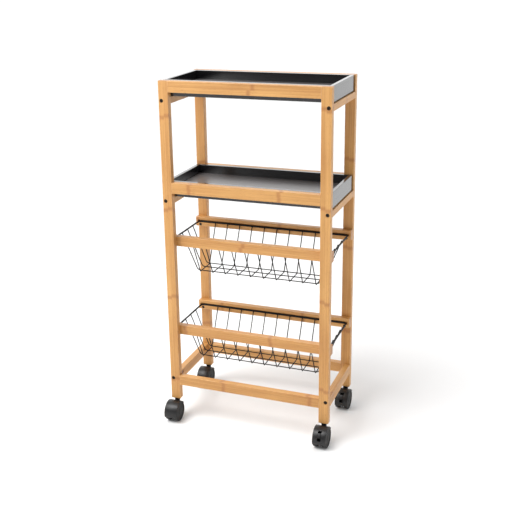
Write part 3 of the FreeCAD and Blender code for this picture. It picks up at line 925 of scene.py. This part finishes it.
@dataclass
class WireBasket:
    """One hanging basket: a thick rim, ten cross wires under three long ones, all spot welded."""

    hanging: Hanging
    coat: bpy.types.Material
    rim_bend: float = 9 * MM
    cross_bend: float = 4 * MM
    long_bend: float = 10 * MM
    cross_count: int = 10
    bottom_half_depth: float = 30 * MM
    bottom_half_width: float = 161 * MM
    long_row_low: float = 28.4 * MM
    bead_flatness: float = 0.72
    cross_weld: float = 1.15
    long_weld: float = 1.2

    def box(self, part: str) -> tuple[Vector, Vector]:
        """The corners of one of the basket's CAD nodes."""
        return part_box(f"{self.hanging.value}_{part}")

    def rim(self) -> Piece:
        """Bends the rim, starting and ending at the middle of its front run.

        Returns:
            The rim.
        """
        low, high = self.box("rim")
        radius = (high.z - low.z) / 2
        level = (high.z + low.z) / 2
        left, right = low.x + radius, high.x - radius
        front, back = low.y + radius, high.y - radius
        seam = Vector(((left + right) / 2, front, level))
        corners = [(right, front), (right, back), (left, back), (left, front)]
        points = [seam, *(Vector((x, y, level)) for x, y in corners), seam]
        return WireBender(radius, self.rim_bend).run(f"{self.hanging.value}_rim_welded", points, closed=True)

    def wire_radius(self) -> float:
        """Half the mesh wire's thickness: the cross wires stand just that far under the long ones."""
        return (self.box("long_wires")[0].z - self.box("cross_wires")[0].z) / 2

    def bead(self, places: list[Vector], size: float) -> list[Piece]:
        """Makes the flattened beads of the spot welds.

        Args:
            places: Where the beads lie.
            size: A bead's radius.

        Returns:
            The beads.
        """
        scale = (1, 1, self.bead_flatness)
        first = Bench.start("weld", bpy.ops.mesh.primitive_ico_sphere_add, scale, subdivisions=2, radius=size)
        Bench.open(first)
        Bench.pick_all()
        bpy.ops.mesh.vertices_smooth(factor=0.4)
        Bench.close()
        Bench.smooth(first, 80)
        beads = [Bench.repeat(first, "weld", place) for place in places]
        bpy.data.objects.remove(first)
        return beads

    def cross_wires(self) -> Piece:
        """Bends one cross wire, copies it along the basket and welds the row to the rim.

        Returns:
            The row of cross wires with its welds.
        """
        radius = self.wire_radius()
        low, high = self.box("cross_wires")
        middle = (low.y + high.y) / 2
        bottom = low.z + radius
        half_depth = (high.y - low.y) / 2 - radius
        lean = math.atan2(half_depth - self.bottom_half_depth, high.z - bottom)
        top = high.z - radius * math.sin(lean)
        first_x, last_x = low.x + radius, high.x - radius
        outline = [(half_depth, top), (self.bottom_half_depth, bottom)]
        rows = outline + [(-y, z) for y, z in reversed(outline)]
        points = [Vector((first_x, middle + y, z)) for y, z in rows]
        wire = WireBender(radius, self.cross_bend).run("cross_wire", points)
        pitch = (last_x - first_x) / (self.cross_count - 1)
        moves = [Vector((pitch * number, 0, 0)) for number in range(self.cross_count)]
        wires = [Bench.repeat(wire, "cross_wire", move) for move in moves]
        bpy.data.objects.remove(wire)
        rim_low, rim_high = self.box("rim")
        reach, level = half_depth + radius, (rim_low.z + rim_high.z) / 2
        ends = [Vector((first_x, middle + side * reach, level)) for side in (-1, 1)]
        welds = [end + move for move in moves for end in ends]
        beads = self.bead(welds, radius * self.cross_weld)
        return Bench.join(wires + beads, f"{self.hanging.value}_cross_wires_welded")

    def long_wires(self) -> Piece:
        """Bends the three long wires, which lie on the cross wires, and welds each crossing.

        Returns:
            The long wires with their welds.
        """
        radius = self.wire_radius()
        low, high = self.box("long_wires")
        middle = (low.y + high.y) / 2
        bottom = low.z + radius
        row_top = (high.y - low.y) / 2 - radius
        lean = math.atan2(high.x - radius - self.bottom_half_width, high.z - bottom)
        half_width = high.x - radius * math.cos(lean)
        top = high.z - radius * math.sin(lean)
        wires = []
        for row in (-1, 0, 1):
            upper, lower = middle + row * row_top, middle + row * self.long_row_low
            outline = [(half_width, upper, top), (self.bottom_half_width, lower, bottom)]
            points = outline + [(-x, y, z) for x, y, z in reversed(outline)]
            wires.append(WireBender(radius, self.long_bend).run("long_wire", [Vector(p) for p in points]))
        cross_low, cross_high = self.box("cross_wires")
        first_x = cross_low.x + radius
        pitch = (cross_high.x - cross_low.x - 2 * radius) / (self.cross_count - 1)
        rows = [middle + row * self.long_row_low for row in (-1, 0, 1)]
        spots = [(first_x + pitch * number, y) for number in range(self.cross_count) for y in rows]
        welds = [Vector((x, y, bottom - radius)) for x, y in spots]
        beads = self.bead(welds, radius * self.long_weld)
        return Bench.join(wires + beads, f"{self.hanging.value}_long_wires_welded")

    def build(self) -> None:
        """Makes the rim, the cross wires and the long wires."""
        makers = {"rim": self.rim, "cross_wires": self.cross_wires, "long_wires": self.long_wires}
        for part, make in makers.items():
            hand_over(make(), f"{self.hanging.value}_{part}", "black_wire", self.coat)


# ---------------------------------------------------------------- casters


@dataclass
class Caster:
    """The shapes of a twin-wheel caster, modelled round its axle; angles go from the back over the top."""

    hood_inner: float = 25.6 * MM
    hood_outer: float = 27.1 * MM
    hood_width: float = 34 * MM
    hood_first: float = 32
    hood_last: float = 200
    hood_round: float = 0.5 * MM
    hood_steps: int = 56
    web_width: float = 13.4 * MM
    web_radius: float = 26.35 * MM
    web_bottom: float = -13 * MM
    web_back: float = 26 * MM
    web_toe: float = -6 * MM
    web_heel: float = 8 * MM
    web_tail: float = -4 * MM
    web_rise: float = 8 * MM
    web_sides: int = 96
    boss_radius: float = 6.7 * MM
    boss_back: float = 20 * MM
    boss_low: float = -8 * MM
    boss_high: float = 28.2 * MM
    stem_radius: float = 4 * MM
    stem_low: float = -2 * MM
    axle_radius: float = 2.5 * MM
    slot_inner: float = 16 * MM
    slot_outer: float = 32 * MM
    slot_width: float = 9.2 * MM
    slot_angles: tuple[float, float] = (121, 178)
    slot_steps: int = 20
    wheel_radius: float = 25 * MM
    wheel_inside: float = 7 * MM
    wheel_width: float = 10 * MM
    wheel_shoulder: float = 1.5 * MM
    wheel_sides: int = 72
    dish_radius: float = 20.5 * MM
    dish_depth: float = 1.2 * MM
    dish_wall: float = 0.5 * MM
    dish_crown: float = 0.1 * MM
    cap_radius: float = 8.5 * MM
    cap_wall: float = 0.5 * MM
    cap_height: float = 0.7 * MM
    cap_shoulder: float = 2.5 * MM
    cap_crown: float = 0.2 * MM
    bore_radius: float = 2.55 * MM
    bore_depth: float = 8.2 * MM
    pedal_inner: float = 23 * MM
    pedal_outer: float = 27.8 * MM
    pedal_width: float = 8.4 * MM
    pedal_angles: tuple[float, float] = (135, 160)
    pedal_steps: int = 15
    pedal_round: float = 0.4 * MM
    grip_depth: float = 0.45 * MM
    grip_wall: float = 0.12 * MM
    pivot_angle: float = 140
    pivot_radius: float = 21 * MM
    knuckle_radius: float = 3 * MM
    trunnion_radius: float = 1.2 * MM
    trunnion_length: float = 12.8 * MM
    trunnion_play: float = 0.1 * MM
    trunnion_fit: float = 1.04
    sliver: float = 0.02 * MM

    def pivot(self) -> Vector:
        """The middle of the lever's trunnions."""
        turn = math.radians(self.pivot_angle)
        return Vector((0, math.cos(turn), math.sin(turn))) * self.pivot_radius

    def arc(
        self, name: str, radii: tuple[float, float], width: float, angles: tuple[float, float],
        steps: int, rounding: float = 0.0,
    ) -> Piece:
        """Spins a flat section round the axle.

        Args:
            name: The block's name.
            radii: Its inner and outer radius.
            width: Its width along the axle.
            angles: The angles in degrees where it starts and ends.
            steps: The spin's steps.
            rounding: How far the section's corners are rounded.

        Returns:
            The closed block.
        """
        inner, outer = radii
        first, last = angles
        piece = Bench.start(
            name, bpy.ops.mesh.primitive_plane_add, (width, outer - inner, 1), size=1,
            location=(0, (inner + outer) / 2, 0),
        )
        Bench.open(piece)
        Bench.pick_all()
        if rounding:
            bpy.ops.mesh.bevel(affect="VERTICES", offset=rounding, segments=2)
            Bench.pick_all()
        bpy.ops.mesh.spin(steps=steps, angle=math.radians(last - first), center=(0, 0, 0), axis=(-1, 0, 0))
        Bench.close()
        piece.rotation_euler = (math.radians(first), 0, 0)
        Bench.settle(piece)
        Bench.faces_out(piece)
        return piece

    def rod(self, name: str, radius: float, length: float, middle: Vector, sides: int = 32) -> Piece:
        """A rod along the axle's direction.

        Args:
            name: The rod's name.
            radius: Its radius.
            length: Its length.
            middle: Its middle.
            sides: Its number of sides.

        Returns:
            The rod.
        """
        return Bench.start(
            name, bpy.ops.mesh.primitive_cylinder_add, vertices=sides, radius=radius, depth=length,
            location=middle, rotation=(0, math.pi / 2, 0),
        )

    def post(self, name: str, radius: float, low: float, high: float) -> Piece:
        """An upright post on the swivel's axis, between two levels.

        Args:
            name: The post's name.
            radius: Its radius.
            low: The level of its foot.
            high: The level of its head.

        Returns:
            The post.
        """
        return Bench.start(
            name, bpy.ops.mesh.primitive_cylinder_add, vertices=32, radius=radius, depth=high - low,
            location=(0, self.boss_back, (low + high) / 2),
        )

    def web(self) -> Piece:
        """The plate between the wheels: a disc trimmed along its lower edge.

        Returns:
            The plate.
        """
        piece = self.rod("web", self.web_radius, self.web_width, Vector(), self.web_sides)
        end = math.radians(self.hood_last)
        lip = Vector((0, math.cos(end), math.sin(end))) * self.web_radius
        toe = Vector((0, self.web_toe, self.web_bottom))
        heel = Vector((0, self.web_heel, self.web_bottom))
        tail = Vector((0, self.web_back, self.web_tail))
        rise = Vector((0, self.web_back, self.web_rise))
        for start, stop in ((lip, toe), (toe, heel), (heel, tail), (tail, rise)):
            run = (stop - start).normalized()
            Bench.open(piece)
            Bench.pick_all()
            bpy.ops.mesh.bisect(
                plane_co=start, plane_no=Vector((0, run.z, -run.y)), use_fill=True, clear_outer=True,
            )
            Bench.close()
        return piece

    def hood(self, slotted: bool) -> Piece:
        """Models the caster's body in one moulding.

        Args:
            slotted: Whether it has the slot for a brake lever.

        Returns:
            The body.
        """
        piece = self.arc(
            "hood", (self.hood_inner, self.hood_outer), self.hood_width,
            (self.hood_first, self.hood_last), self.hood_steps, self.hood_round,
        )
        Bench.combine(piece, self.web(), "UNION")
        boss = self.post("boss", self.boss_radius, self.boss_low, self.boss_high)
        Bench.combine(piece, boss, "UNION")
        stem_bore = self.post("stem_bore", self.stem_radius, self.stem_low, 2 * self.boss_high)
        Bench.combine(piece, stem_bore, "DIFFERENCE")
        axle_bore = self.rod("axle_bore", self.axle_radius, 2 * self.web_width, Vector())
        Bench.combine(piece, axle_bore, "DIFFERENCE")
        if slotted:
            radii = (self.slot_inner, self.slot_outer)
            slot = self.arc("slot", radii, self.slot_width, self.slot_angles, self.slot_steps)
            Bench.combine(piece, slot, "DIFFERENCE")
            length = self.trunnion_length + self.trunnion_play
            radius = self.trunnion_radius * self.trunnion_fit
            pivot_bore = self.rod("pivot_bore", radius, length, self.pivot(), self.slot_steps)
            Bench.combine(piece, pivot_bore, "DIFFERENCE")
        Bench.faces_out(piece, self.sliver)
        Bench.smooth(piece)
        return piece

    def wheel(self, side: Side) -> Piece:
        """Models one wheel: a tyre with round shoulders, a dished disc with a cap, and a blind bore.

        Args:
            side: The side of the web that it turns on.

        Returns:
            The wheel, with the tread's faces on the first material and the disc's on the second.
        """
        sign = side.sign
        middle = Vector((sign * (self.wheel_inside + self.wheel_width / 2), 0, 0))
        outside = abs(middle.x) + self.wheel_width / 2
        piece = self.rod("wheel", self.wheel_radius, self.wheel_width, middle, self.wheel_sides)
        Bench.open(piece)
        Bench.pick_faces(lambda centre, normal: normal.x * sign > 0.9)
        bpy.ops.mesh.inset(thickness=self.wheel_radius - self.dish_radius)
        bpy.ops.mesh.inset(thickness=self.dish_wall, depth=-self.dish_depth)
        face = self.dish_radius - self.dish_wall - self.cap_radius
        bpy.ops.mesh.inset(thickness=face, depth=self.dish_crown)
        bpy.ops.mesh.inset(thickness=self.cap_wall, depth=self.cap_height)
        bpy.ops.mesh.inset(thickness=self.cap_shoulder, depth=self.cap_crown)
        Bench.pick_faces(lambda centre, normal: normal.x * sign < -0.9)
        bpy.ops.mesh.inset(thickness=self.wheel_radius - self.bore_radius)
        Bench.push(Vector((sign * self.bore_depth, 0, 0)))
        bpy.ops.mesh.select_mode(type="EDGE")
        rim = self.wheel_radius - 0.05 * MM
        Bench.pick_edges(lambda a, b: min(a.yz.length, b.yz.length) > rim and abs(a.x - b.x) < 0.1 * MM)
        bpy.ops.mesh.bevel(offset=self.wheel_shoulder, segments=4, affect="EDGES")
        Bench.close()
        Bench.faces_out(piece)
        for face in piece.data.polygons:
            disc = face.center.yz.length < self.dish_radius and abs(face.center.x) > outside - 3 * MM
            face.material_index = int(disc)
        Bench.smooth(piece, 28)
        return piece

    def lever(self) -> Piece:
        """Models the brake lever: a ribbed pedal on a knuckle with two trunnions.

        Returns:
            The lever.
        """
        radii = (self.pedal_inner, self.pedal_outer)
        piece = self.arc(
            "pedal", radii, self.pedal_width, self.pedal_angles, self.pedal_steps, self.pedal_round,
        )
        Bench.open(piece)
        step = (self.pedal_angles[1] - self.pedal_angles[0]) / self.pedal_steps

        def groove(centre: Vector, normal: Vector) -> bool:
            """Says whether a face is one of the pedal's grooves.

            Args:
                centre: The face's centre.
                normal: The way that it faces.

            Returns:
                True for every third face along the pedal's top.
            """
            number = (math.degrees(math.atan2(centre.z, centre.y)) - self.pedal_angles[0]) // step
            outward = normal.dot(Vector((0, centre.y, centre.z)).normalized()) > 0.9
            return outward and centre.yz.length > self.pedal_inner + 2 * MM and number % 3 == 1

        Bench.pick_faces(groove)
        bpy.ops.mesh.inset(thickness=self.grip_wall, depth=-self.grip_depth, use_individual=True)
        Bench.close()
        knuckle = self.rod("knuckle", self.knuckle_radius, self.pedal_width, self.pivot())
        Bench.open(knuckle)
        Bench.pick_faces(lambda centre, normal: abs(normal.x) > 0.9)
        reach = (self.trunnion_length - self.pedal_width) / 2
        bpy.ops.mesh.inset(thickness=self.knuckle_radius - self.trunnion_radius)
        bpy.ops.mesh.inset(thickness=0, depth=reach)
        Bench.close()
        Bench.combine(piece, knuckle, "UNION")
        Bench.faces_out(piece, self.sliver)
        Bench.smooth(piece)
        return piece


@dataclass
class CasterSet:
    """Four casters from one set of mouldings; the right ones carry brake levers."""

    shape: Caster
    plastic: bpy.types.Material
    disc: bpy.types.Material
    tread: bpy.types.Material

    def axle(self, name: str) -> Vector:
        """The middle of a caster's axle."""
        low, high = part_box(f"{name}_axle")
        return (low + high) / 2

    def fit(self, model: Piece, node: str, place: Vector, slot: str, *finishes: bpy.types.Material) -> None:
        """Copies a moulding to its caster and hands it over.

        Args:
            model: The moulding, round the frame's origin.
            node: The CAD node that the copy stands for.
            place: The middle of the caster's axle.
            slot: The record's material slot.
            *finishes: The copy's materials.
        """
        hand_over(Bench.repeat(model, f"{node}_moulded", place), node, slot, *finishes)

    def build(self) -> None:
        """Models each moulding once and copies it to its casters."""
        hoods = {side: self.shape.hood(side is Side.RIGHT) for side in Side}
        wheels = {side: self.shape.wheel(side) for side in Side}
        lever = self.shape.lever()
        for end in End:
            for side in Side:
                name = f"caster_{end.value}_{side.value}"
                place = self.axle(name)
                self.fit(hoods[side], f"{name}_hood", place, "caster_black", self.plastic)
                for hand, wheel in wheels.items():
                    self.fit(wheel, f"{name}_{hand.value}_wheel", place, "tread", self.tread, self.disc)
                if side is Side.RIGHT:
                    self.fit(lever, f"{name}_brake_lever", place, "caster_black", self.plastic)
        for model in (*hoods.values(), *wheels.values(), lever):
            bpy.data.objects.remove(model)


# ---------------------------------------------------------------- studio


@dataclass
class Studio:
    """A white floor under a soft key light, with the surroundings brighter behind the cart."""

    floor_size: float = 60.0
    floor_tone: float = 0.9
    key_strength: float = 1.8
    key_angle: float = 32.0
    key_left: float = 34.0
    key_height: float = 64.0
    key_distance: float = 4.0
    fill_power: float = 22.0
    fill_size: float = 1.4
    fill_place: tuple[float, float, float] = (-1.1, -0.9, 1.5)
    fill_aim: float = 0.9
    wall_back: float = 1.15
    wall_right: float = 0.15
    wall_front: float = 0.28

    def floor(self) -> None:
        """Lays the floor."""
        piece = Bench.start("studio_floor", bpy.ops.mesh.primitive_plane_add, size=self.floor_size)
        graph = Graph.of("white_sweep")
        grain = graph.noise(graph.place(), 3, 2)
        tones = [(grey, grey, grey, 1.0) for grey in (self.floor_tone - 0.01, self.floor_tone)]
        tone = graph.mix(grain, *tones)
        sweep = graph.surface(Base_Color=tone, Roughness=0.9, Specular_IOR_Level=0.1)
        piece.data.materials.append(sweep)

    def walls(self) -> None:
        """Sets the surroundings: white to look at, and brighter behind the cart than before it."""
        graph = Graph(bpy.data.worlds.new("studio"))
        bpy.context.scene.world = graph.owner
        x, y, _ = graph.split(graph.node("ShaderNodeTexCoord", {}, {}).outputs["Generated"])
        light = self.wall_front + y.rise(-0.2, 0.8) * self.wall_back + x.rise(0, 1) * self.wall_right
        seen = Flow(graph, graph.node("ShaderNodeLightPath", {}, {}).outputs["Is Camera Ray"])
        graph.feed(graph.tree.nodes["Background"].inputs["Strength"], seen * 1.2 + (1 - seen) * light)
        graph.feed(graph.tree.nodes["Background"].inputs["Color"], (1.0, 1.0, 1.0, 1.0))

    def lamp(self, name: str, kind: str, place: Vector, aim: Vector, **settings: Any) -> None:
        """Hangs a lamp.

        Args:
            name: The lamp's name.
            kind: SUN or AREA.
            place: Where it hangs.
            aim: The point that it shines at.
            **settings: The lamp's own settings.
        """
        light = bpy.data.lights.new(name, kind)
        for setting, value in settings.items():
            setattr(light, setting, value)
        lamp = bpy.data.objects.new(name, light)
        lamp.location = place
        lamp.rotation_euler = (aim - place).to_track_quat("-Z", "Y").to_euler()
        bpy.context.scene.collection.objects.link(lamp)

    def build(self) -> None:
        """Lays the floor, sets the walls and hangs the lamps."""
        self.floor()
        self.walls()
        left, height = math.radians(self.key_left), math.radians(self.key_height)
        flat = math.cos(height)
        way = Vector((-math.sin(left) * flat, -math.cos(left) * flat, math.sin(height)))
        angle = math.radians(self.key_angle)
        self.lamp("key", "SUN", way * self.key_distance, Vector(), energy=self.key_strength, angle=angle)
        place, aim = Vector(self.fill_place), Vector((0, 0, CAD_BOX[1].z * self.fill_aim))
        self.lamp("fill", "AREA", place, aim, energy=self.fill_power, size=self.fill_size)
        bpy.context.scene.view_settings.view_transform = "Standard"


@dataclass
class Viewpoint:
    """The camera: to the right of the cart, a little above it, looking down and to the left."""

    place: tuple[float, float, float] = (0.728, -1.964, 1.162)
    left: float = 21.59
    down: float = 17.36
    roll: float = -1.11
    lens: float = 62.73
    shift_x: float = 0.031
    shift_y: float = -0.05

    def build(self) -> None:
        """Sets the camera up."""
        yaw, pitch, roll = math.radians(self.left), math.radians(-self.down), math.radians(self.roll)
        ahead = Vector((-math.sin(yaw) * math.cos(pitch), math.cos(yaw) * math.cos(pitch), math.sin(pitch)))
        level = Vector((math.cos(yaw), math.sin(yaw), 0))
        above = level.cross(ahead)
        right = level * math.cos(roll) + above * math.sin(roll)
        up = above * math.cos(roll) - level * math.sin(roll)
        data = bpy.data.cameras.new("viewpoint")
        data.lens = self.lens
        data.shift_x = self.shift_x
        data.shift_y = self.shift_y
        data.clip_end = 100
        camera = bpy.data.objects.new("viewpoint", data)
        turn = Matrix((right, up, -ahead)).transposed().to_4x4()
        camera.matrix_world = Matrix.Translation(self.place) @ turn
        bpy.context.scene.collection.objects.link(camera)
        bpy.context.scene.camera = camera


def main() -> None:
    """Builds the cart, sub-assembly by sub-assembly, and the studio around it."""
    logging.basicConfig(level=logging.INFO, format="%(message)s")
    plastic = Moulding("black_moulded_nylon", code(17, 16, 17), code(46, 43, 44), 0.34).make()
    disc = Moulding("black_wheel_disc", code(20, 18, 19), code(44, 40, 41), 0.40).make()
    tread = Moulding("rubber_tread", code(16, 15, 16), code(52, 49, 47), 0.6, 0.12 * MM).make()
    gloss = Lacquer("black_gloss_lacquer", 0.08, 0.55).make()
    # Painted sheen: the satin tray floors get a grey base colour and a lighter dust colour, standing for the
    # sheen of their black lacquer.
    satin = Lacquer("black_satin_lacquer_painted_sheen", 0.3, 1.0, code(94, 90, 90), code(120, 116, 115)).make()
    coat = PowderCoat().make()
    Joinery().build()
    Hardware(plastic).build()
    for shelf in Shelf:
        TrayBoards(shelf, gloss, satin).build()
    for hanging in Hanging:
        WireBasket(hanging, coat).build()
    CasterSet(Caster(), plastic, disc, tread).build()
    Studio().build()
    Viewpoint().build()


if __name__ == "__main__":
    main()
